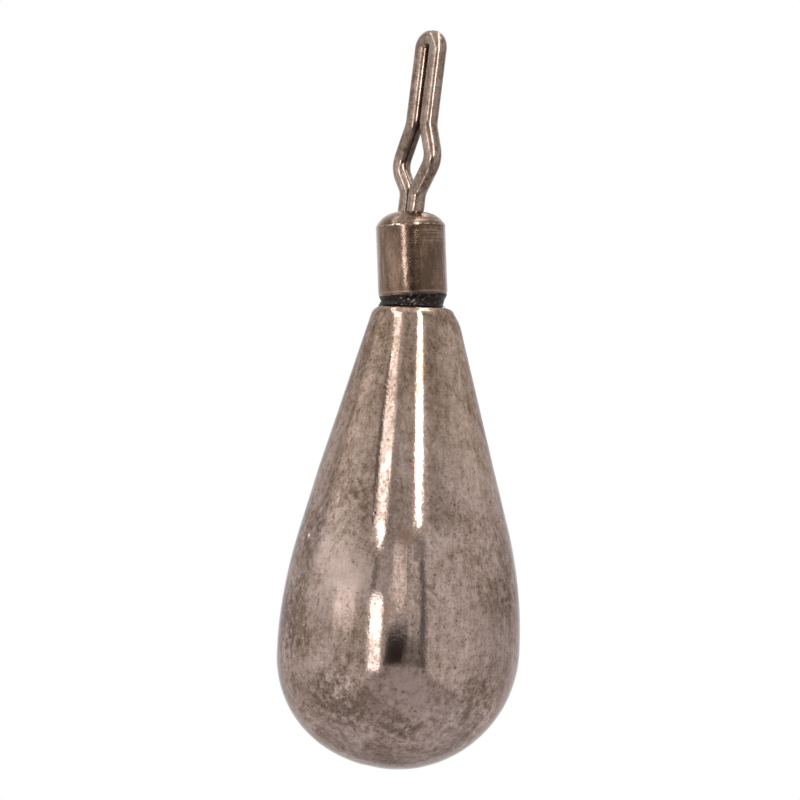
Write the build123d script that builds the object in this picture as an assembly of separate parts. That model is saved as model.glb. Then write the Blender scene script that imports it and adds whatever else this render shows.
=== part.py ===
from build123d import *
import math
import os

# Teardrop fishing sinker on a swivel, hanging from the eye of its line clip. Millimetres.
# The origin is the middle of the eye, +Z is up and the weight's axis is parallel to Z.
# The pieces hang in a chain: the clip leans to +X and the loosely held barrel to -X.

# Line clip: one wire, bent double. A hairpin narrows to a slot that pinches the line, opens into
# an eye and closes into a shank. Its bends are measured on the wire's centre line, and the eye's
# width inside the wire, before its bends are rounded.
WIRE_DIA = 0.72
SLOT_GAP = 0.19
CROWN_HEIGHT = 5.40
CROWN_BEND_SHARE = 0.56
PINCH_HEIGHT = 1.53
PINCH_BEND = 1.00
EYE_WIDTH = 1.42
EYE_SKEW = 0.20
EYE_BEND = 0.80
EYE_TO_SHANK = 1.17
SHANK_LENGTH = 0.98
SHANK_BEND = 0.70
SHANK_SPACING_SHARE = 0.76
CLIP_LEAN = 4.2
CLIP_TURN = 52.0

# Head that is upset on the shank's end, with a sloping shoulder and a rounded underside.
HEAD_LEDGE = 0.18
HEAD_THICKNESS = 0.52
HEAD_SLOPE = 0.14
HEAD_ROUND = 0.14

# Swivel barrel: turned, with its rim swaged in over the head and a solid stem below.
# The plays are the gaps round the shank and the head when the clip leans over.
LIP_THICKNESS = 0.34
LIP_PLAY = 0.03
ROOF_DROP = 0.20
ROOF_PLAY = 0.03
CAVITY_PLAY = 0.05
FLOOR_PLAY = 0.20
BARREL_WALL = 0.33
BARREL_HEIGHT = 2.90
DOME_HEIGHT = 0.56
DOME_BEND = 1.05
FOOT_CHAMFER = 0.10
FOOT_CHAMFER_HEIGHT = 0.20
STEM_DIA = 1.60
STEM_LENGTH = 3.00
STEM_CHAMFER = 0.15
BARREL_LEAN = 4.9

# Weight: a ball-nosed teardrop that tapers to a small flat top with a blind hole. Its top is
# measured across the taper, before the shoulder is rounded.
WEIGHT_DIA = 9.70
WEIGHT_LENGTH = 18.51
BELLY_BEND = 17.9
WEIGHT_TOP_DIA = 3.30
SHOULDER_ROUND = 0.50

# Glue: it fills the hole round the leaning stem and stands out as a ring under the barrel.
# The stem's axis crosses the weight's axis a little way down the hole.
GLUE_FILM = 0.12
GLUE_UNDER_STEM = 0.35
RING_HEIGHT = 0.34
RING_FOOT_DIA = 2.56
RING_WAIST_IN = 0.02
CROSSING_DEPTH = 0.85


def turned(*edges):
    """A body of revolution about Z, from a closed outline in the XZ plane."""
    return revolve(Plane.XZ * make_face(edges), Axis.Z)


# Fits that follow from the wire: the lip's hole clears the leaning shank, the head is wider than
# the hole, and the cavity clears the leaning head. Heights are from the middle of the lip.
rock = math.radians(CLIP_LEAN + BARREL_LEAN)
wire_r = WIRE_DIA / 2
shank_out = SHANK_SPACING_SHARE * wire_r
shank_r = shank_out + wire_r
hole_r = shank_r / math.cos(rock) + LIP_THICKNESS / 2 * math.tan(rock) + LIP_PLAY
head_r = hole_r + HEAD_LEDGE
roof_edge = -LIP_THICKNESS / 2 - ROOF_DROP
head_rim = (roof_edge - ROOF_PLAY - head_r * math.sin(rock)) / math.cos(rock)
head_end = head_rim + HEAD_SLOPE - HEAD_THICKNESS
cavity_r = head_r * math.cos(rock) - head_end * math.sin(rock) + CAVITY_PLAY
cavity_floor = head_end * math.cos(rock) - head_r * math.sin(rock) - FLOOR_PLAY
barrel_r = cavity_r + BARREL_WALL
dome_top = BARREL_HEIGHT + DOME_HEIGHT
lip_height = dome_top - LIP_THICKNESS / 2

# Places along the chain, from the eye down: lip, barrel's shoulder, weight's flat top.
lean = math.radians(BARREL_LEAN)
eye_to_lip = EYE_TO_SHANK + SHANK_LENGTH
clip_place = Rot(0, CLIP_LEAN, 0) * Rot(0, 0, -CLIP_TURN)
lip_point = (clip_place * Pos(0, 0, -eye_to_lip)).position
barrel_place = Pos(lip_point) * Rot(0, -BARREL_LEAN, 0) * Pos(0, 0, -lip_height)
ring_foot = (barrel_place * Pos(0, 0, -RING_HEIGHT)).position
weight_place = Pos(ring_foot) * Pos(CROSSING_DEPTH * math.sin(lean), 0, 0)

# Line clip. Each leg is a bent round wire from the crown to the head, and the legs are pressed
# flat against each other on the middle plane where the shank closes. The bulges of the eye are
# skewed, one up and one down.
head_ring = head_end + HEAD_ROUND - eye_to_lip
line_clip = turned(
    Polyline(
        (0, head_rim + HEAD_SLOPE - eye_to_lip),
        (shank_out, head_rim + HEAD_SLOPE - eye_to_lip),
        (head_r, head_rim - eye_to_lip),
        (head_r, head_ring),
    ),
    RadiusArc((head_r, head_ring), (head_r - HEAD_ROUND, head_end - eye_to_lip), HEAD_ROUND),
    Polyline(
        (head_r - HEAD_ROUND, head_end - eye_to_lip),
        (0, head_end - eye_to_lip),
        (0, head_rim + HEAD_SLOPE - eye_to_lip),
    ),
)
crown = CROWN_HEIGHT - wire_r
leg_out = wire_r + SLOT_GAP / 2
eye_out = wire_r + EYE_WIDTH / 2
reach = 2 * (CROWN_HEIGHT + eye_to_lip)
for side in (1, -1):
    path = FilletPolyline(
        (0, 0, crown),
        (side * leg_out, 0, crown),
        (side * leg_out, 0, PINCH_HEIGHT),
        (side * eye_out, 0, side * EYE_SKEW),
        (side * shank_out, 0, -EYE_TO_SHANK),
        (side * shank_out, 0, head_rim - eye_to_lip),
        radius=[CROWN_BEND_SHARE * WIRE_DIA, PINCH_BEND, EYE_BEND, SHANK_BEND],
    )
    leg = sweep(Plane(path @ 0, z_dir=path % 0) * Circle(wire_r), path)
    own_side = Pos(side * reach / 2, 0, 0) * Box(reach, reach, reach)
    line_clip += leg & own_side

# Swivel barrel, with its shoulder at zero: stem, chamfered foot, wall, domed lip, hole and cavity.
stem_r = STEM_DIA / 2
barrel = turned(
    Polyline(
        (0, -STEM_LENGTH),
        (stem_r - STEM_CHAMFER, -STEM_LENGTH),
        (stem_r, STEM_CHAMFER - STEM_LENGTH),
        (stem_r, 0),
        (barrel_r - FOOT_CHAMFER, 0),
        (barrel_r, FOOT_CHAMFER_HEIGHT),
        (barrel_r, BARREL_HEIGHT),
    ),
    RadiusArc((barrel_r, BARREL_HEIGHT), (hole_r, dome_top), -DOME_BEND),
    Polyline(
        (hole_r, dome_top),
        (hole_r, dome_top - LIP_THICKNESS),
        (cavity_r, lip_height + roof_edge),
        (cavity_r, lip_height + cavity_floor),
        (0, lip_height + cavity_floor),
        (0, -STEM_LENGTH),
    ),
)

# Weight, with its flat top at zero: ball nose, belly arc and the straight taper that leaves the
# belly arc as its tangent and ends at the edge of the top.
nose_r = WEIGHT_DIA / 2
top_r = WEIGHT_TOP_DIA / 2
equator = nose_r - WEIGHT_LENGTH
belly_centre = nose_r - BELLY_BEND
top_reach = math.hypot(top_r - belly_centre, equator)
taper = math.atan2(-equator, top_r - belly_centre) - math.acos(BELLY_BEND / top_reach)
belly_end = (
    belly_centre + BELLY_BEND * math.cos(taper),
    equator + BELLY_BEND * math.sin(taper),
)
teardrop = turned(
    RadiusArc((0, -WEIGHT_LENGTH), (nose_r, equator), -nose_r),
    RadiusArc((nose_r, equator), belly_end, -BELLY_BEND),
    Polyline(belly_end, (top_r, 0), (0, 0), (0, -WEIGHT_LENGTH)),
)
shoulder = teardrop.edges().filter_by(GeomType.CIRCLE).sort_by(Axis.Z)[-1]
stem_depth = STEM_LENGTH - RING_HEIGHT
well_r = stem_r + (stem_depth - CROSSING_DEPTH) * math.sin(lean) + GLUE_FILM
well_depth = stem_depth + GLUE_UNDER_STEM
well = Pos(0, 0, -well_depth / 2) * Cylinder(well_r, well_depth)
weight = fillet(shoulder, SHOULDER_ROUND) - well

# Glue: the filled hole, and a waisted ring from the flat top to the barrel's leaning shoulder.
seat_r = barrel_r - FOOT_CHAMFER
foot_r = RING_FOOT_DIA / 2
waist_place = Pos((ring_foot + barrel_place.position) / 2) * Rot(0, -BARREL_LEAN / 2, 0)
ring = loft(
    [
        Pos(ring_foot) * Circle(foot_r),
        waist_place * Circle(min(foot_r, seat_r) - RING_WAIST_IN),
        barrel_place * Circle(seat_r),
    ]
)

nodes = {
    "line_clip": clip_place * line_clip,
    "swivel_barrel": barrel_place * barrel,
    "glue": ring + weight_place * well - barrel_place * barrel,
    "weight": weight_place * weight,
}

os.makedirs("parts", exist_ok=True)
for name, solid in nodes.items():
    export_step(solid, f"parts/{name}.step")
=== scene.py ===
from math import pi, radians

import bmesh
import bpy
from mathutils import Matrix, Vector, noise


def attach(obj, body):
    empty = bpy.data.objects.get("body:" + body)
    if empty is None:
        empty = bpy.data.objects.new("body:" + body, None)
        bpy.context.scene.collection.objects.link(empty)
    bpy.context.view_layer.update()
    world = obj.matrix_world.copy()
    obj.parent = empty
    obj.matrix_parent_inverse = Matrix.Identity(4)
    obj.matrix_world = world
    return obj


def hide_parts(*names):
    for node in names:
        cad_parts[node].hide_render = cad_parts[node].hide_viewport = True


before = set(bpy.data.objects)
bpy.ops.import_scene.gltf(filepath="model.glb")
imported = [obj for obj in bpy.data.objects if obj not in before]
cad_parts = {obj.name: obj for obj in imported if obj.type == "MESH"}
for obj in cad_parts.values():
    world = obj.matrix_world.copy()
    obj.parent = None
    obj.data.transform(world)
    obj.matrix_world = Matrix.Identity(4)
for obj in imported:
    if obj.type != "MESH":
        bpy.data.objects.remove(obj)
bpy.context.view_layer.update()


# Line clip: one drawn steel wire, bent double into a hairpin that pinches the line and an eye
# below it. The two ends are pressed flat against each other into a shank, and upset into a head
# that stays loose inside the swivel barrel.
mm = 0.001
wire_r = 0.36 * mm
wire_sides = 40
crown_z = 5.039 * mm
clip_lean = radians(4.2)
clip_turn = radians(52)
clip_place = Matrix.Rotation(clip_lean, 4, "Y") @ Matrix.Rotation(-clip_turn, 4, "Z")
# Each leg from the middle of the crown down: feed, bend radius and bend angle in turn.
right_leg = ((0.0518, 0.4032, 90), (2.8868, 1.0, -24.816), (0.829, 0.8, 54.986),
             (0.9797, 0.7, -30.17), (1.3373, 0, 0))
left_leg = ((0.0518, 0.4032, -90), (2.9343, 1.0, 19.57), (1.2114, 0.8, -58.957),
            (0.5523, 0.7, 39.387), (1.2755, 0, 0))
pull_length = 0.12
degrees_a_step = 4
pressed_below = -0.5 * mm
joined_above = 4 * mm
# Outline of the head, from its upper slope to its rounded underside.
head_outline = ((0, -2.556), (0.2736, -2.556), (0.879, -2.696), (0.879, -2.936))
head_round = 0.14 * mm


def each_once(parts):
    """The parts in their order, without repeats."""
    return list(dict.fromkeys(parts))


def edges_in(parts):
    """The edges among what an operator gives back."""
    return [part for part in parts if isinstance(part, bmesh.types.BMEdge)]


def chain(bm, outline):
    """A run of straight edges through radius and height pairs in millimetres."""
    verts = [bm.verts.new((r * mm, 0, z * mm)) for r, z in outline]
    for a, b in zip(verts, verts[1:]):
        bm.edges.new((a, b))
    return verts


def round_on(bm, vert, pivot, degrees, steps):
    """The outline goes on from its last point as an arc about a pivot. Gives the new last point."""
    arc = bmesh.ops.spin(bm, geom=[vert], cent=pivot, axis=(0, 1, 0), angle=radians(degrees),
                         steps=steps)
    return next(part for part in arc["geom_last"] if isinstance(part, bmesh.types.BMVert))


def turn_on_lathe(bm, steps):
    """The outline is spun once round and its seam and poles are closed."""
    bmesh.ops.spin(bm, geom=bm.verts[:] + bm.edges[:], cent=(0, 0, 0), axis=(0, 0, 1),
                   angle=2 * pi, steps=steps, use_merge=True)
    bmesh.ops.remove_doubles(bm, verts=bm.verts[:], dist=0.0005 * mm)
    bmesh.ops.dissolve_degenerate(bm, edges=bm.edges[:], dist=0.0002 * mm)
    bmesh.ops.recalc_face_normals(bm, faces=bm.faces[:])


def finished_piece(bm, name, body, node, finish, crease):
    """The mesh becomes a smooth-shaded piece of the object, with its finish and its body."""
    mesh = bpy.data.meshes.new(name)
    bm.to_mesh(mesh)
    bm.free()
    mesh.shade_smooth()
    mesh.set_sharp_from_angle(angle=radians(crease))
    mesh.materials.append(finish)
    piece = bpy.data.objects.new(name, mesh)
    bpy.context.scene.collection.objects.link(piece)
    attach(piece, body)
    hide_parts(node)


def bent_leg(bm, bends, side):
    """One leg of the clip, fed and bent from the middle of the crown to the end of the shank."""
    start = Matrix.Translation((0, 0, crown_z)) @ Matrix.Rotation(radians(90), 4, "Y")
    made = bmesh.ops.create_circle(bm, cap_ends=False, radius=wire_r, segments=wire_sides, matrix=start)
    leg = list(made["verts"])
    ring = each_once(edge for vert in leg for edge in vert.link_edges)
    here = Vector((0, 0, crown_z))
    way = Vector((side, 0, 0))
    for feed, radius, degrees in bends:
        pulls = max(1, round(feed / pull_length))
        for pull in range(pulls):
            drawn = bmesh.ops.extrude_edge_only(bm, edges=ring)["geom"]
            ring = [edge for edge in edges_in(drawn) if not edge.is_manifold]
            verts = each_once(vert for edge in ring for vert in edge.verts)
            bmesh.ops.translate(bm, verts=verts, vec=way * (feed * mm / pulls))
            leg += verts
        here += way * (feed * mm)
        if radius:
            turn = 1 if degrees > 0 else -1
            inward = Matrix.Rotation(radians(90 * turn), 3, "Y") @ way
            pivot = here + inward * (radius * mm)
            steps = max(6, round(abs(degrees) / degrees_a_step))
            before = set(bm.verts)
            spun = bmesh.ops.spin(bm, geom=ring, cent=pivot, axis=(0, 1, 0), angle=radians(degrees),
                                  steps=steps)
            ring = edges_in(spun["geom_last"])
            leg += [vert for vert in bm.verts if vert not in before]
            swing_round = Matrix.Rotation(radians(degrees), 3, "Y")
            here = pivot + swing_round @ (here - pivot)
            way = swing_round @ way
    return [vert for vert in leg if vert.is_valid], ring


bm = bmesh.new()
for side, bends in ((1, right_leg), (-1, left_leg)):
    leg, ring = bent_leg(bm, bends, side)
    bmesh.ops.holes_fill(bm, edges=ring)
    shank = [vert for vert in leg if vert.co.z < pressed_below]
    faces = each_once(face for vert in shank for face in vert.link_faces)
    edges = each_once(edge for face in faces for edge in face.edges)
    verts = each_once(vert for face in faces for vert in face.verts)
    pressed = bmesh.ops.bisect_plane(bm, geom=verts + edges + faces, dist=0.0001 * mm,
                                     plane_co=(0, 0, 0), plane_no=(side, 0, 0), clear_inner=True)
    bmesh.ops.holes_fill(bm, edges=edges_in(pressed["geom_cut"]))
crown = [vert for vert in bm.verts if vert.co.z > joined_above]
bmesh.ops.remove_doubles(bm, verts=crown, dist=0.001 * mm)
bmesh.ops.recalc_face_normals(bm, faces=bm.faces[:])
head = bmesh.new()
edge_of_head = chain(head, head_outline)[-1]
under = round_on(head, edge_of_head, edge_of_head.co - Vector((head_round, 0, 0)), 90, 6)
head.edges.new((under, head.verts.new((0, 0, under.co.z))))
turn_on_lathe(head, 48)
upset = bpy.data.meshes.new("upset_head")
head.to_mesh(upset)
head.free()
bm.from_mesh(upset)
bpy.data.meshes.remove(upset)
bmesh.ops.transform(bm, matrix=clip_place, verts=bm.verts[:])


def put(tree, kind, values=None, **settings):
    """A node with its settings, and each of its inputs set to a value or linked to a socket."""
    node = tree.nodes.new(kind)
    for name, value in settings.items():
        setattr(node, name, value)
    for key, value in (values or {}).items():
        if isinstance(value, bpy.types.NodeSocket):
            tree.links.new(value, node.inputs[key])
        else:
            node.inputs[key].default_value = value
    return node


def between(tree, value, low, high, to_low=0.0, to_high=1.0):
    """A smooth step from one level to another as the value goes from low to high."""
    step = put(tree, "ShaderNodeMapRange", {0: value, 1: low, 2: high, 3: to_low, 4: to_high},
               interpolation_type="SMOOTHSTEP")
    return step.outputs[0]


def sum_of(tree, how, a, b=0.0):
    """One sum of two values, or of the first alone."""
    return put(tree, "ShaderNodeMath", {0: a, 1: b}, operation=how).outputs[0]


def times(tree, first, *others):
    """The product of masks or values."""
    for other in others:
        first = sum_of(tree, "MULTIPLY", first, other)
    return first


def swing(tree, value, middle, amount):
    """How far a value swings from its middle, times an amount."""
    return times(tree, sum_of(tree, "SUBTRACT", value, middle), amount)


def level_of(tree, share, a, b):
    """A mix of two levels."""
    return put(tree, "ShaderNodeMix", {0: share, 2: a, 3: b}, data_type="FLOAT").outputs[0]


def blend_of(tree, share, a, b):
    """A mix of two colours."""
    return put(tree, "ShaderNodeMix", {0: share, 6: a, 7: b}, data_type="RGBA").outputs[2]


def laid(tree, place, scale=(1, 1, 1), turn=(0, 0, 0)):
    """The place on a piece, stretched or turned."""
    return put(tree, "ShaderNodeMapping", {"Vector": place, "Scale": scale, "Rotation": turn}).outputs[0]


def axes_of(tree, place):
    """The three parts of a place."""
    return put(tree, "ShaderNodeSeparateXYZ", {"Vector": place}).outputs


def speckle(tree, place, scale, detail, roughness, distortion=0.0):
    """Noise at a scale in cells to the millimetre."""
    return put(tree, "ShaderNodeTexNoise", {"Vector": place, "Scale": scale, "Detail": detail,
                                            "Roughness": roughness, "Distortion": distortion}).outputs[0]


def ramp_of(tree, shade, stops):
    """Colours along a shade from 0 to 1."""
    ramp = put(tree, "ShaderNodeValToRGB", {0: shade})
    keys = ramp.color_ramp.elements
    while len(keys) < len(stops):
        keys.new(0.5)
    for key, (at, colour) in zip(keys, stops):
        key.position = at
        key.color = (*colour, 1)
    return ramp.outputs[0]


def new_finish(name):
    """A material with its node tree and shader, and the place on the object in millimetres."""
    finish = bpy.data.materials.new(name)
    finish.use_nodes = True
    tree = finish.node_tree
    where = put(tree, "ShaderNodeTexCoord").outputs["Object"]
    return finish, tree, tree.nodes["Principled BSDF"], laid(tree, where, (1 / mm, 1 / mm, 1 / mm))


def surface(tree, shader, colour, roughness, height, strength, depth):
    """Colour, roughness and fine unevenness go to the shader."""
    bump = put(tree, "ShaderNodeBump", {"Strength": strength, "Distance": depth, "Height": height})
    tree.links.new(colour, shader.inputs["Base Color"])
    tree.links.new(roughness, shader.inputs["Roughness"])
    tree.links.new(bump.outputs[0], shader.inputs["Normal"])


# Tarnish on all the metal: broad clouds broken up by fine grain, and a few small pits. Shade is
# 0 where the metal is darkest and 1 where it is cleanest.
tarnish_group = bpy.data.node_groups.new("metal_tarnish", "ShaderNodeTree")
tarnish_group.interface.new_socket("Place", in_out="INPUT", socket_type="NodeSocketVector")
for name in ("Cloud", "Grain", "Contrast", "Pits"):
    tarnish_group.interface.new_socket(name, in_out="INPUT", socket_type="NodeSocketFloat")
for name in ("Shade", "Fine", "Pitted"):
    tarnish_group.interface.new_socket(name, in_out="OUTPUT", socket_type="NodeSocketFloat")
given = put(tarnish_group, "NodeGroupInput").outputs
clouds = speckle(tarnish_group, given["Place"], given["Cloud"], 6.0, 0.6, 0.7)
grain = speckle(tarnish_group, given["Place"], given["Grain"], 3.0, 0.6, 0.3)
broad = swing(tarnish_group, clouds, 0.5, 1.5)
small = sum_of(tarnish_group, "SUBTRACT", grain, 0.5)
both = times(tarnish_group, sum_of(tarnish_group, "ADD", broad, small), given["Contrast"])
shade = sum_of(tarnish_group, "ADD", both, 0.5)
cells = put(tarnish_group, "ShaderNodeTexVoronoi",
            {"Vector": given["Place"], "Scale": given["Pits"]}).outputs
lot = put(tarnish_group, "ShaderNodeSeparateColor", {"Color": cells["Color"]}).outputs[0]
pit_size = between(tarnish_group, lot, 0.55, 1.0, 0.0, 0.13)
pit = sum_of(tarnish_group, "SUBTRACT", pit_size, cells["Distance"])
put(tarnish_group, "NodeGroupOutput", {"Shade": shade, "Fine": grain,
                                       "Pitted": between(tarnish_group, pit, 0.0, 0.08)})


def tarnished(tree, place, cloud, grain, contrast, pits):
    """The tarnish group in a material, at that piece's own scale."""
    return put(tree, "ShaderNodeGroup", {"Place": place, "Cloud": cloud, "Grain": grain,
                                         "Contrast": contrast, "Pits": pits},
               node_tree=tarnish_group).outputs


# The wire's finish: brownish oxide over steel, with fine drawing lines.
wire_colours = ((0.0, (0.085, 0.056, 0.041)), (0.4, (0.205, 0.145, 0.114)),
                (0.7, (0.285, 0.212, 0.174)), (1.0, (0.40, 0.315, 0.27)))
wire_pit = (0.06, 0.045, 0.035, 1)
# The last colour is painted shade for the groove and the inside of the eye.
wire_painted_shade = (0.026, 0.017, 0.012, 1)
wire_finish, tree, shader, place = new_finish("dull_drawn_wire")
shader.inputs["Metallic"].default_value = 1.0
oxide = tarnished(tree, place, cloud=1.1, grain=8.0, contrast=1.1, pits=2.4)
straight = laid(tree, place, turn=(0, -clip_lean, 0))
drawn = speckle(tree, laid(tree, straight, (1.0, 1.0, 0.03)), 13.0, 2.0, 0.6)
shade = sum_of(tree, "ADD", oxide["Shade"], swing(tree, drawn, 0.5, 1.1))
colour = blend_of(tree, oxide["Pitted"], ramp_of(tree, shade, wire_colours), wire_pit)
# Painted shade: the colour is darkened in the groove between the two ends, and on the inside of the eye
# under the slot.
own = axes_of(tree, laid(tree, straight, turn=(0, 0, clip_turn)))
from_middle = sum_of(tree, "ABSOLUTE", own[0])
groove_shade = times(tree, between(tree, from_middle, 0.085, 0.03), between(tree, own[2], -0.75, -1.0),
               between(tree, own[2], -2.54, -2.48), 0.9)
inward = sum_of(tree, "ADD", own[0], times(tree, own[2], -0.355))
inner_eye_shade = times(tree, between(tree, inward, -0.78, -0.62), between(tree, own[0], 0.1, -0.05),
              between(tree, own[2], -0.1, 0.15), between(tree, own[2], 2.0, 1.5), 0.66)
colour = blend_of(tree, sum_of(tree, "MAXIMUM", groove_shade, inner_eye_shade), colour, wire_painted_shade)
roughness = between(tree, shade, 0.0, 1.0, 0.22, 0.14)
surface(tree, shader, colour, roughness, drawn, strength=0.5, depth=0.004 * mm)
finished_piece(bm, "bent_wire_clip", "clip", "line_clip", wire_finish, crease=50)


# Swivel barrel: turned from brass and plated dark. Its rim is swaged in over the clip's head,
# which leaves a burr, and its stem is glued into the weight.
barrel_lean = radians(4.9)
lip_middle = Vector((-0.15746, 0, -2.14423)) * mm
lip_height = 3.29 * mm
barrel_place = (Matrix.Translation(lip_middle) @ Matrix.Rotation(-barrel_lean, 4, "Y")
                @ Matrix.Translation((0, 0, -lip_height)))
barrel_r = 1.394
# Outline of the stem, the chamfered foot and the wall, up to the rim, which stands out a little.
stem_outline = ((0, -3.0), (0.65, -3.0), (0.80, -2.85), (0.80, 0))
foot_outline = ((1.294, 0), (barrel_r, 0.20))
wall_outline = ((barrel_r, 0.5), (barrel_r, 1.0), (barrel_r, 1.5), (barrel_r, 2.0), (barrel_r, 2.5),
                (barrel_r, 2.80), (barrel_r + 0.006, 2.86), (barrel_r, 2.90))
dome_pivot = Vector((0.4501, 0, 2.4399)) * mm
dome_sweep = -50.31
hole_outline = ((0.699, 3.12), (1.064, 2.92), (1.064, 2.037), (0, 2.037))
foot_round = 0.035 * mm
lip_round = 0.09 * mm
burr_out = 0.010 * mm
burr_up = 0.014 * mm


def soften(bm, corners, offset, segments):
    """Corners of an outline are rounded."""
    bmesh.ops.bevel(bm, geom=corners, offset=offset, offset_type="OFFSET", segments=segments,
                    profile=0.5, affect="VERTICES", material=-1)


bm = bmesh.new()
outside = chain(bm, stem_outline + foot_outline + wall_outline)
foot = outside[len(stem_outline):len(stem_outline) + len(foot_outline)]
lip = round_on(bm, outside[-1], dome_pivot, dome_sweep, 12)
bm.edges.new((lip, chain(bm, hole_outline)[0]))
soften(bm, foot, foot_round, 4)
soften(bm, [lip], lip_round, 4)
turn_on_lathe(bm, 160)
for vert in bm.verts:
    away = Vector((vert.co.x, vert.co.y, 0))
    if away.length > 1.38 * mm and 2.82 * mm < vert.co.z < 2.94 * mm:
        burr = noise.noise(vert.co * 4000) + 0.6 * noise.noise(vert.co * 11000)
        vert.co += away.normalized() * (burr_out * burr) + Vector((0, 0, burr_up * burr))
bmesh.ops.transform(bm, matrix=barrel_place, verts=bm.verts[:])

plating_colours = ((0.0, (0.080, 0.047, 0.029)), (0.3, (0.158, 0.098, 0.065)),
                   (0.5, (0.243, 0.155, 0.111)), (0.8, (0.33, 0.225, 0.172)),
                   (1.0, (0.45, 0.335, 0.27)))
plating_pit = (0.06, 0.04, 0.03, 1)
bare_brass = (0.80, 0.67, 0.58, 1)
barrel_finish, tree, shader, place = new_finish("dark_plated_brass")
shader.inputs["Metallic"].default_value = 1.0
shader.inputs["Coat Weight"].default_value = 0.16
shader.inputs["Coat IOR"].default_value = 1.8
shader.inputs["Coat Roughness"].default_value = 0.12
# Across is measured from the barrel's axis, and level from its shoulder.
upright = laid(tree, place, turn=(0, barrel_lean, 0))
at = axes_of(tree, upright)
across = sum_of(tree, "ADD", at[0], 0.34)
level = sum_of(tree, "ADD", at[2], 5.413)
stain_place = laid(tree, upright, (1.6, 1.6, 0.6))
stain = tarnished(tree, stain_place, cloud=0.8, grain=6.0, contrast=0.9, pits=1.8)
turned_lines = speckle(tree, laid(tree, upright, (0.25, 0.25, 9.0)), 2.0, 4.0, 0.7)
ragged = speckle(tree, place, 3.2, 5.0, 0.7)
# Turning marks show most under the rim on one side. Down the front of that side the colour is darkened: a
# painted reflection of the tent's dark opening.
ragged_across = sum_of(tree, "ADD", across, swing(tree, ragged, 0.5, 0.5))
painted_dark_reflection = times(tree, between(tree, ragged_across, -0.14, 0.10), between(tree, ragged_across, 1.15, 0.4),
                  between(tree, at[1], 0.3, -0.3), 0.27)
marked = times(tree, between(tree, level, 1.9, 2.5), between(tree, across, -0.1, 0.2), 1.5)
lines = swing(tree, turned_lines, 0.5, sum_of(tree, "ADD", 0.3, marked))
shade = sum_of(tree, "ADD", sum_of(tree, "SUBTRACT", stain["Shade"], 0.19), lines)
# Painted light: the dome is made lighter in the colour, as if lit from overhead.
shade = sum_of(tree, "ADD", shade, between(tree, level, 2.92, 3.05, 0.0, 0.08))
shade = sum_of(tree, "SUBTRACT", shade, painted_dark_reflection)
colour = blend_of(tree, stain["Pitted"], ramp_of(tree, shade, plating_colours), plating_pit)
# The plating is worn off along the burr at the rim, and a little along the edge of the foot.
rough_level = sum_of(tree, "ADD", level, swing(tree, ragged, 0.5, 0.2))
# Along the rim the worn line is painted brighter on the left and middle than on the right: a painted
# highlight.
worn_rim_and_sheen = times(tree, between(tree, rough_level, 2.875, 2.895), between(tree, rough_level, 2.945, 2.915),
                 between(tree, across, 1.25, 0.5, 0.25, 1.0), between(tree, ragged, 0.46, 0.60))
worn_foot = times(tree, between(tree, level, 0.18, 0.20), between(tree, level, 0.25, 0.23), 0.15)
colour = blend_of(tree, sum_of(tree, "MAXIMUM", worn_rim_and_sheen, worn_foot), colour, bare_brass)
skin = sum_of(tree, "ADD", lines, times(tree, stain["Fine"], 0.35))
skin = sum_of(tree, "ADD", skin, times(tree, ragged, 3.0))
roughness = between(tree, stain["Shade"], 0.0, 1.0, 0.21, 0.13)
surface(tree, shader, colour, roughness, skin, strength=0.6, depth=0.006 * mm)
finished_piece(bm, "turned_barrel", "sinker", "swivel_barrel", barrel_finish, crease=30)


# Weight: a teardrop of sintered tungsten, ground and polished, with a blind hole in its flat top
# for the barrel's stem. Handling has left it mottled brown-grey, with pits and fine scratches.
weight_place = Matrix.Translation(Vector((0.22521, 0, -5.76096)) * mm)
weight_length = 18.508 * mm
nose_r = 4.845 * mm
equator_z = nose_r - weight_length
belly_r = 17.9 * mm
taper = 16.027
top_r = 1.65 * mm
shoulder_back = 0.3766 * mm
hole_of_weight = ((1.0746, 0), (1.0746, -3.01), (0, -3.01))
beside_hole = 1.1 * mm
bm = bmesh.new()
tip = bm.verts.new((0, 0, -weight_length))
widest = round_on(bm, tip, (0, 0, equator_z), -90, 56)
belly_end = round_on(bm, widest, (nose_r - belly_r, 0, equator_z), -taper, 28)
top_corner = bm.verts.new((top_r, 0, 0))
bm.edges.new((belly_end, top_corner))
bm.edges.new((top_corner, chain(bm, hole_of_weight)[0]))
soften(bm, [top_corner], shoulder_back, 10)
outer_edges = [edge for edge in bm.edges if edge.verts[0].co.x > beside_hole]
taper_edge = max(outer_edges, key=lambda edge: edge.calc_length())
bmesh.ops.subdivide_edges(bm, edges=[taper_edge], cuts=40)
turn_on_lathe(bm, 224)
# Hand grinding left the belly a little low on one side, and the shoulder rounder on the other.
ground_below = -6.5 * mm
ground_over = 2.5 * mm
left_lower = 0.32 * mm
right_higher = 0.06 * mm
shoulder_z = -0.26 * mm
shoulder_reach = 0.40 * mm
shoulder_loss = 0.065
for vert in bm.verts:
    left = max(0.0, -vert.co.x) / nose_r
    right = max(0.0, vert.co.x) / nose_r
    low = min(1.0, max(0.0, (ground_below - vert.co.z) / ground_over))
    if Vector((vert.co.x, vert.co.y)).length > beside_hole:
        vert.co.z += low * (right_higher * right ** 2 - left_lower * left ** 2)
        ground = max(0.0, 1 - abs(vert.co.z - shoulder_z) / shoulder_reach)
        vert.co.x -= shoulder_loss * ground * max(0.0, vert.co.x)
bmesh.ops.transform(bm, matrix=weight_place, verts=bm.verts[:])

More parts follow.
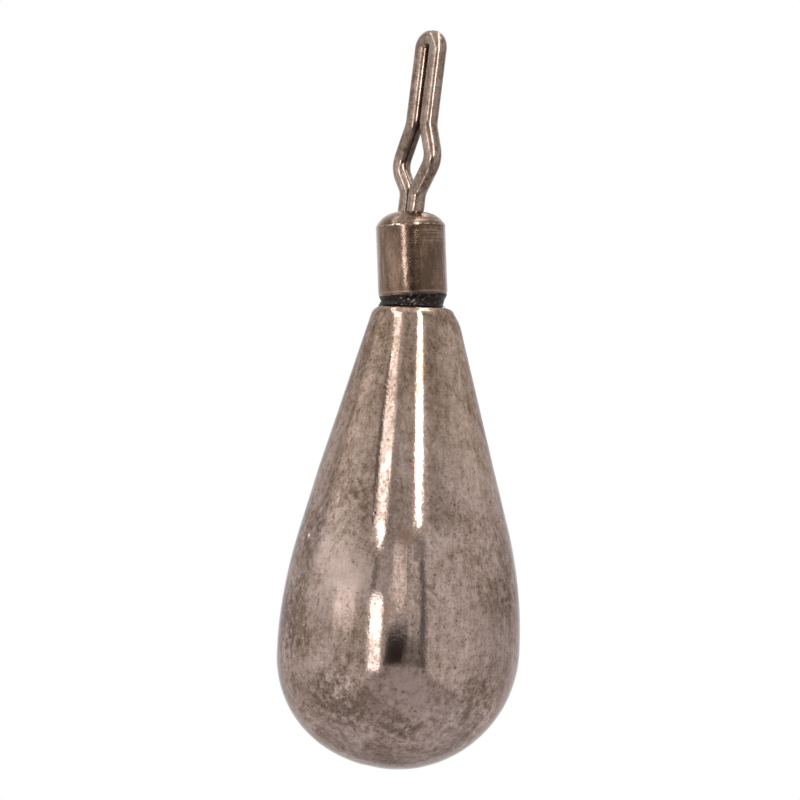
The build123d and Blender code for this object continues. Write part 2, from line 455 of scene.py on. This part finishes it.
tungsten_colours = ((0.0, (0.13, 0.088, 0.064)), (0.3, (0.27, 0.194, 0.152)),
                    (0.5, (0.365, 0.272, 0.228)), (0.75, (0.46, 0.357, 0.313)),
                    (1.0, (0.56, 0.46, 0.41)))
film_dark = (0.150, 0.105, 0.075, 1)
film_light = (0.255, 0.183, 0.140, 1)
tungsten_pit = (0.115, 0.080, 0.062, 1)
dark_dot = (0.105, 0.070, 0.050, 1)
belly_tint = (0.985, 0.985, 1.01, 1)
taper_tint = (0.945, 0.91, 0.85, 1)
red_smear = (0.25, 0.135, 0.098, 1)
painted_glint = (1.0, 0.95, 0.90, 1)
scratch_colour = (0.72, 0.60, 0.52, 1)
# Stains gather on the left of the belly and round the nose: place, reach and share of each.
stain_clusters = (((-1.9, -3.3, -13.8), 2.4, 0.5), ((-4.2, -2.2, -18.4), 2.7, 1.0),
                  ((-3.9, -1.8, -14.8), 2.4, 0.7), ((-2.0, -3.7, -21.6), 1.9, 1.5),
                  ((0.4, -3.7, -22.6), 1.3, 1.4), ((3.1, -3.0, -21.9), 2.4, 0.8),
                  ((-1.8, -1.0, -8.0), 2.2, 0.6), ((4.1, -2.5, -16.5), 2.5, 0.5),
                  ((2.0, 3.6, -17.0), 3.5, 0.9))


def near(tree, place, point, reach):
    """1 near a point on the piece, falling to 0 at its reach."""
    gap = put(tree, "ShaderNodeVectorMath", {0: place, 1: point}, operation="DISTANCE").outputs["Value"]
    return between(tree, gap, reach, 0.25 * reach)


weight_finish, tree, shader, spot = new_finish("polished_tungsten")
shader.inputs["Metallic"].default_value = 1.0
shader.inputs["Specular Tint"].default_value = (0.62, 0.61, 0.62, 1)
at = axes_of(tree, spot)
# The metal is darker in a band round the lower nose, fading out again at its very tip; the stain clusters
# come on top.
stains_and_low_band = times(tree, between(tree, at[2], -19.8, -22.5, 0.0, 0.35), between(tree, at[2], -24.1, -23.2))
for point, reach, share in stain_clusters:
    stains_and_low_band = sum_of(tree, "MAXIMUM", stains_and_low_band, times(tree, near(tree, spot, point, reach), share))
mottle = tarnished(tree, spot, cloud=0.38, grain=3.4, contrast=0.84, pits=1.15)
streaks = speckle(tree, laid(tree, spot, (1.0, 1.0, 0.3)), 5.0, 3.0, 0.6, 0.3)
hairs = speckle(tree, laid(tree, spot, (1.0, 1.0, 0.06)), 7.0, 2.0, 0.7)
fine = speckle(tree, spot, 11.0, 2.0, 0.6)
film = speckle(tree, spot, 0.7, 7.0, 0.60, 1.0)
shade = sum_of(tree, "ADD", mottle["Shade"], swing(tree, fine, 0.46, 0.55))
shade = sum_of(tree, "SUBTRACT", shade, between(tree, fine, 0.43, 0.31, 0.0, 0.24))
shade = sum_of(tree, "ADD", shade, swing(tree, streaks, 0.54, between(tree, at[2], -16.5, -9.0, 0.25, 0.7)))
shade = sum_of(tree, "ADD", shade, swing(tree, hairs, 0.5, 0.6))
shade = sum_of(tree, "ADD", shade, swing(tree, mottle["Fine"], 0.5, stains_and_low_band))
shade = sum_of(tree, "SUBTRACT", shade, times(tree, stains_and_low_band, 0.15))
# Two areas are cleaner.
clean = sum_of(tree, "MAXIMUM", near(tree, spot, (-2.2, -3.8, -16.6), 3.0),
               near(tree, spot, (0.3, -4.4, -21.2), 1.8))
clean = times(tree, clean, between(tree, film, 0.62, 0.42), 0.62)
shade = level_of(tree, clean, shade, 0.70)
# Over the stains and the low band, dried water has left small winding rims.
rims = sum_of(tree, "SUBTRACT", speckle(tree, spot, 1.9, 2.5, 0.5, 1.6), 0.5)
rims = sum_of(tree, "ABSOLUTE", rims)
rims = times(tree, between(tree, rims, 0.035, 0.008), between(tree, fine, 0.40, 0.55), stains_and_low_band, 0.45)
shade = sum_of(tree, "SUBTRACT", shade, rims)
colour = ramp_of(tree, shade, tungsten_colours)
# The film of tarnish is broken at its edges and uneven inside.
edge = sum_of(tree, "ADD", film, times(tree, stains_and_low_band, 0.15))
edge = sum_of(tree, "ADD", edge, swing(tree, fine, 0.5, 0.12))
patches = times(tree, between(tree, edge, 0.58, 0.70), between(tree, mottle["Fine"], 0.66, 0.40, 0.25, 0.85))
dirt = blend_of(tree, between(tree, fine, 0.35, 0.65), film_dark, film_light)
colour = blend_of(tree, patches, colour, dirt)
colour = blend_of(tree, mottle["Pitted"], colour, tungsten_pit)
dots = between(tree, speckle(tree, spot, 6.5, 1.0, 0.5, 0.4), 0.685, 0.735)
dots = times(tree, dots, sum_of(tree, "ADD", 0.45, times(tree, stains_and_low_band, 0.4)))
colour = blend_of(tree, dots, colour, dark_dot)
# The taper is browner than the belly.
tint = blend_of(tree, between(tree, at[2], -16.0, -9.0), belly_tint, taper_tint)
colour = put(tree, "ShaderNodeMix", {0: 1.0, 6: colour, 7: tint}, data_type="RGBA",
             blend_type="MULTIPLY").outputs[2]
# Two reddish smears, a painted glint and a hairline scratch.
red = sum_of(tree, "MAXIMUM", near(tree, spot, (0.25, -4.34, -15.05), 0.55),
             near(tree, spot, (-0.50, -4.73, -18.0), 0.6))
red = times(tree, red, between(tree, mottle["Fine"], 0.30, 0.60), 0.7)
colour = blend_of(tree, red, colour, red_smear)
colour = blend_of(tree, near(tree, spot, (-3.53, -2.06, -15.14), 0.10), colour, painted_glint)
line = sum_of(tree, "ADD", at[0], times(tree, at[2], 0.0426))
line = sum_of(tree, "ADD", line, times(tree, film, 0.10))
line = put(tree, "ShaderNodeMath", {0: line, 1: -0.262, 2: 0.018}, operation="COMPARE").outputs[0]
line = times(tree, line, between(tree, at[2], -17.6, -17.0), between(tree, at[2], -15.2, -15.6),
             between(tree, at[1], 0.0, -0.5), 0.4)
colour = blend_of(tree, line, colour, scratch_colour)
dull = sum_of(tree, "SUBTRACT", shade, times(tree, patches, 0.3))
skin = sum_of(tree, "ADD", times(tree, fine, 0.5), times(tree, mottle["Fine"], 1.4))
skin = sum_of(tree, "ADD", skin, times(tree, film, 3.0))
skin = sum_of(tree, "SUBTRACT", skin, mottle["Pitted"])
roughness = between(tree, dull, 0.1, 0.8, 0.14, 0.05)
surface(tree, shader, colour, roughness, skin, strength=0.5, depth=0.0045 * mm)
finished_piece(bm, "teardrop_weight", "sinker", "weight", weight_finish, crease=40)


# Glue: black epoxy that fills the hole round the stem and squeezes out under the barrel as a
# waisted ring, wetting the barrel's chamfer and running a little over the weight's shoulder.
frames = {"barrel": barrel_place, "weight": weight_place,
          "waist": Matrix.Translation(Vector((0.08, 0, -5.761)) * mm),
          "ring": Matrix.Translation(Vector((0.13, 0, -5.761)) * mm)}
# Loops from the stem's end up, round the ring and down the hole: what each follows, radius, level.
ring_loops = (("barrel", 0.805, -2.95), ("barrel", 0.805, -0.002), ("barrel", 1.28, 0.02),
              ("barrel", 1.350, 0.10), ("barrel", 1.343, 0.06), ("barrel", 1.315, 0.0),
              ("barrel", 1.265, -0.08), ("waist", 1.25, 0.13), ("waist", 1.275, 0.08),
              ("ring", 1.325, 0.03), ("ring", 1.38, -0.01), ("ring", 1.34, -0.06),
              ("weight", 1.0746, -0.01), ("weight", 1.0746, -3.0))
lumpy_loops = range(3, 11)
wetting_loops = range(3, 5)
running_loops = range(8, 11)
lump_out = 0.020 * mm
lump_up = 0.04 * mm
sag_up = 0.03 * mm
bm = bmesh.new()
loops = []
for carrier, radius, level in ring_loops:
    loop_place = frames[carrier] @ Matrix.Translation((0, 0, level * mm))
    made = bmesh.ops.create_circle(bm, cap_ends=False, radius=radius * mm, segments=128, matrix=loop_place)
    loops.append((made["verts"], each_once(edge for vert in made["verts"] for edge in vert.link_edges)))
for number in lumpy_loops:
    middle = frames[ring_loops[number][0]].translation
    for vert in loops[number][0]:
        away = Vector((vert.co.x - middle.x, vert.co.y, 0)).normalized()
        lump = noise.noise(vert.co * 1300) + 0.6 * noise.noise(vert.co * 4200)
        sag = noise.noise(away * 2.2 + Vector((0, 0, 4.0)))
        vert.co += away * (lump_out * lump)
        if number in running_loops:
            vert.co.z += sag_up * sag
        if number in wetting_loops:
            vert.co.z += lump_up * lump
for (_, upper_loop), (_, lower_loop) in zip(loops, loops[1:]):
    bmesh.ops.bridge_loops(bm, edges=upper_loop + lower_loop)
bmesh.ops.holes_fill(bm, edges=loops[0][1])
bmesh.ops.holes_fill(bm, edges=loops[-1][1])
bmesh.ops.recalc_face_normals(bm, faces=bm.faces[:])

glue_black = (0.005, 0.0028, 0.002, 1)
glue_haze = (0.032, 0.023, 0.020, 1)
glue_dust = (0.24, 0.22, 0.205, 1)
glue_finish, tree, shader, place = new_finish("black_epoxy")
shader.inputs["Specular IOR Level"].default_value = 0.09
lumps = speckle(tree, place, 6.0, 5.0, 0.65)
dust = between(tree, speckle(tree, place, 9.0, 3.0, 0.6), 0.57, 0.66)
dusty = sum_of(tree, "MAXIMUM", near(tree, place, (-0.05, -1.28, -5.65), 0.8), 0.12)
colour = blend_of(tree, between(tree, lumps, 0.42, 0.62), glue_black, glue_haze)
colour = blend_of(tree, times(tree, dust, dusty), colour, glue_dust)
roughness = between(tree, lumps, 0.3, 0.7, 0.25, 0.5)
surface(tree, shader, colour, roughness, lumps, strength=0.9, depth=0.06 * mm)
finished_piece(bm, "squeezed_glue", "sinker", "glue", glue_finish, crease=60)


# Floor: a plain white board of matt card that lies below the hanging weight and runs out towards
# the camera. A darker card under it shows at the front as its edge: painted shade for the board's shaded
# edge.
board_middle = Vector((9, -36, -58)) * mm
board_size = (86 * mm, 172 * mm)
edge_shown = 4.5 * mm
edge_drop = 1.0 * mm


def flat_card(name, place, size, colour, roughness=0.5, gloss=0.5):
    """A flat card of the stage with a plain finish."""
    bm = bmesh.new()
    bmesh.ops.create_grid(bm, x_segments=1, y_segments=1, size=0.5,
                          matrix=place @ Matrix.Diagonal((*size, 1, 1)))
    mesh = bpy.data.meshes.new(name)
    bm.to_mesh(mesh)
    bm.free()
    finish = bpy.data.materials.new(name)
    finish.use_nodes = True
    shader = finish.node_tree.nodes["Principled BSDF"]
    shader.inputs["Base Color"].default_value = colour
    shader.inputs["Roughness"].default_value = roughness
    shader.inputs["Specular IOR Level"].default_value = gloss
    mesh.materials.append(finish)
    card = bpy.data.objects.new(name, mesh)
    bpy.context.scene.collection.objects.link(card)
    return card


flat_card("white_board", Matrix.Translation(board_middle), board_size, (0.59, 0.585, 0.595, 1),
          roughness=0.8, gloss=0.1)
flat_card("shaded_board_edge", Matrix.Translation(board_middle - Vector((0, edge_shown / 2, edge_drop))),
          (board_size[0], board_size[1] + edge_shown), (0.34, 0.325, 0.31, 1))


# Light: a white tent with a dark opening for the camera in front. A strip of light hangs on each
# side of the opening and arches overhead, with a low strip, a far window, a back strip and a top
# light. Azimuth is measured from the camera to its right, elevation from the level.
world = bpy.data.worlds.new("white_tent")
bpy.context.scene.world = world
world.use_nodes = True
tree = world.node_tree
tree.nodes.clear()
way = axes_of(tree, put(tree, "ShaderNodeTexCoord").outputs["Generated"])
azimuth = sum_of(tree, "DEGREES", sum_of(tree, "ARCTAN2", way[0], times(tree, way[1], -1.0)))
elevation = sum_of(tree, "DEGREES", sum_of(tree, "ARCSINE", way[2]))
aside = sum_of(tree, "ABSOLUTE", azimuth)
# The walls are darker at the sides than in front and behind, and the roof is lighter.
level = between(tree, aside, 62.0, 86.0, 1.0, 0.80)
level = sum_of(tree, "ADD", level, between(tree, aside, 112.0, 142.0, 0.0, 0.30))
level = level_of(tree, between(tree, elevation, 45.0, 62.0), level, 1.3)
# Parts of the tent: left and right azimuth, low and high elevation, softness, level and lean.
left_wall = ((-120, -62, -14, 10, 8.0, 1.02, 0), (-104, -58, 10, 27, 6.0, 1.36, 0),
             (-100, -50, 29.5, 42, 3.0, 0.77, 0))
right_wall = ((62, 115, 8, 28, 6.0, 0.96, 0), (98, 138, -16, 12, 8.0, 0.72, 0),
              (30, 115, 29, 42, 4.0, 0.65, 0))
left_glow = ((-64, -44, 5, 20, 6.0, 1.35, 0), (-68, -46, 6, 13, 4.0, 2.0, 0))
front_wall = ((-24, 10, 27, 45, 2.0, 0.76, 0), (-24, 24, -24, 27, 2.0, 0.80, 0),
              (-23, -13, 25, 35, 2.0, 0.62, 0), (-20, 28, 3.5, 9, 1.5, 0.62, 0),
              (7, 24, -24, 3, 1.5, 0.42, 0), (7, 20, 3, 9, 1.5, 0.76, 0),
              (7, 20, 9, 26, 1.5, 1.15, 0), (12, 25, 24, 30, 1.5, 0.50, 0),
              (5, 27, -24, -13, 2.0, 0.40, 0))
front_panel = ((-13, -4, 6.5, 19, 2.5, 1.25, -0.4), (-7.6, 3.2, 9.5, 27, 0.8, 1.75, 0.275))
dark_seams = ((20.0, 25.0, -18, 24, 1.2, 0.22, 0.112), (-30.5, -25.5, 13, 27, 1.0, 0.35, 0))
opening = ((-12.5, 6.5, -16.5, 4.4, 2.2, 0.06, -0.12),)
tent_parts = left_wall + right_wall + left_glow + front_wall + front_panel + dark_seams + opening
for left, right, low, high, soft, own_level, lean in tent_parts:
    from_middle = sum_of(tree, "SUBTRACT", elevation, (low + high) / 2)
    along = sum_of(tree, "ADD", azimuth, times(tree, from_middle, lean))
    inside = times(tree, between(tree, along, left - soft, left + soft),
                   between(tree, along, right + soft, right - soft),
                   between(tree, elevation, low - soft, low + soft),
                   between(tree, elevation, high + soft, high - soft))
    level = level_of(tree, inside, level, own_level)
# The camera, and anything clear, sees plain white.
ray = put(tree, "ShaderNodeLightPath").outputs
seen = sum_of(tree, "MAXIMUM", ray["Is Camera Ray"], ray["Is Transmission Ray"])
strength = level_of(tree, seen, level, 1.0)
sky = put(tree, "ShaderNodeBackground", {"Color": (1, 1, 1, 1), "Strength": strength})
put(tree, "ShaderNodeOutputWorld", {"Surface": sky.outputs[0]})

# Strips of light: name, low and high end, width, radiance and colour.
cool = (0.93, 0.98, 1.04)
white = (1, 1, 1)
strips = (("left_strip_point", (-11.3, -25, -4.8), (-11.1, -25, -3.6), 1.2, 5.0, cool),
          ("left_strip_tip", (-10.9, -25, -3.6), (-10.9, -25, -2.2), 2.4, 5.5, cool),
          ("left_strip_tail", (-11.2, -25, -2.2), (-12.2, -25, 0.6), 3.6, 8.0, cool),
          ("left_strip_foot", (-12.2, -25, 0.6), (-14.4, -25, 4.8), 6.6, 2.6, cool),
          ("left_strip", (-14.6, -25, 4.8), (-21.5, -25, 14.0), 6.0, 1.75, cool),
          ("left_strip_top", (-21.5, -25, 14.0), (-30, -25, 23), 8.0, 2.6, cool),
          ("left_strip_end", (-30, -25, 23), (-66, -25, 50), 13.0, 3.2, cool),
          ("left_strip_arch", (-54, -26, 38), (-28, 22, 56), 10.0, 3.4, cool),
          ("low_left_strip", (-9.2, -25, -29.2), (-9.2, -25, -13.3), 4.8, 3.0, cool),
          ("right_strip_point", (8.1, -30, 3.2), (8.7, -30, 5.6), 3.2, 13.0, white),
          ("right_strip", (8.5, -30, 5.6), (9.0, -30, 9.0), 5.0, 13.0, white),
          ("right_strip_middle", (8.7, -30, 9.0), (8.0, -30, 19.0), 6.6, 8.0, white),
          ("right_strip_top", (8.0, -30, 19.0), (8.4, -27, 46), 7.6, 10.0, white),
          ("right_strip_arch", (8.4, -27, 46), (13, 8, 58), 8.0, 5.5, white),
          ("right_strip_end", (13, 8, 58), (15, 44, 46), 10.0, 3.0, white),
          ("left_window", (-160, -365, -4), (-160, -365, 70), 66, 4.5, cool),
          ("back_strip", (2, 60, -22), (2, 60, 28), 11.0, 2.2, white),
          ("top_light", (14, -20, 50), (26, -2, 50), 13.0, 2.4, white))
lit_middle = Vector((0, 0, -12)) * mm
for name, low, high, width, radiance, tone in strips:
    low = Vector(low) * mm
    high = Vector(high) * mm
    middle = (low + high) / 2
    upright = (high - low).normalized()
    facing = lit_middle - middle
    facing = (facing - upright * facing.dot(upright)).normalized()
    lamp = bpy.data.lights.new(name, "AREA")
    lamp.shape = "RECTANGLE"
    lamp.size = width * mm
    lamp.size_y = (high - low).length
    lamp.energy = radiance * pi * lamp.size * lamp.size_y
    lamp.color = tone
    strip = bpy.data.objects.new(name, lamp)
    strip.matrix_world = Matrix((upright.cross(-facing), upright, -facing)).transposed().to_4x4()
    strip.location = middle
    strip.visible_camera = False
    bpy.context.scene.collection.objects.link(strip)

# A dark frame along the left strip.
frame_low = Vector((-17.2, -25, 1.5)) * mm
frame_high = Vector((-33, -25, 18)) * mm
frame_width = 2.4 * mm
upright = (frame_high - frame_low).normalized()
across = Vector((0, 1, 0)).cross(upright)
turned_to = Matrix((across, upright, across.cross(upright))).transposed().to_4x4()
strip_frame = flat_card("strip_frame", Matrix.Translation((frame_low + frame_high) / 2) @ turned_to,
                        (frame_width, (frame_high - frame_low).length), (0.14, 0.10, 0.085, 1))
strip_frame.visible_camera = False


# Camera: as the photograph was taken, level with the weight's widest part and rolled a little. It
# stands 220 mm off with a long lens.
camera = bpy.data.cameras.new("camera")
camera.lens = 247.7
camera.sensor_width = 36
camera.clip_start = 0.01
camera.clip_end = 10
viewer = bpy.data.objects.new("camera", camera)
stand = Vector((0.2, -220, -19.3)) * mm
aim = Vector((-0.199, 0, -9.521)) * mm
roll = radians(2.85)
look = (aim - stand).to_track_quat("-Z", "Y").to_matrix() @ Matrix.Rotation(roll, 3, "Z")
viewer.matrix_world = Matrix.Translation(stand) @ look.to_4x4()
bpy.context.scene.collection.objects.link(viewer)
bpy.context.scene.camera = viewer
bpy.context.scene.view_settings.view_transform = "Standard"
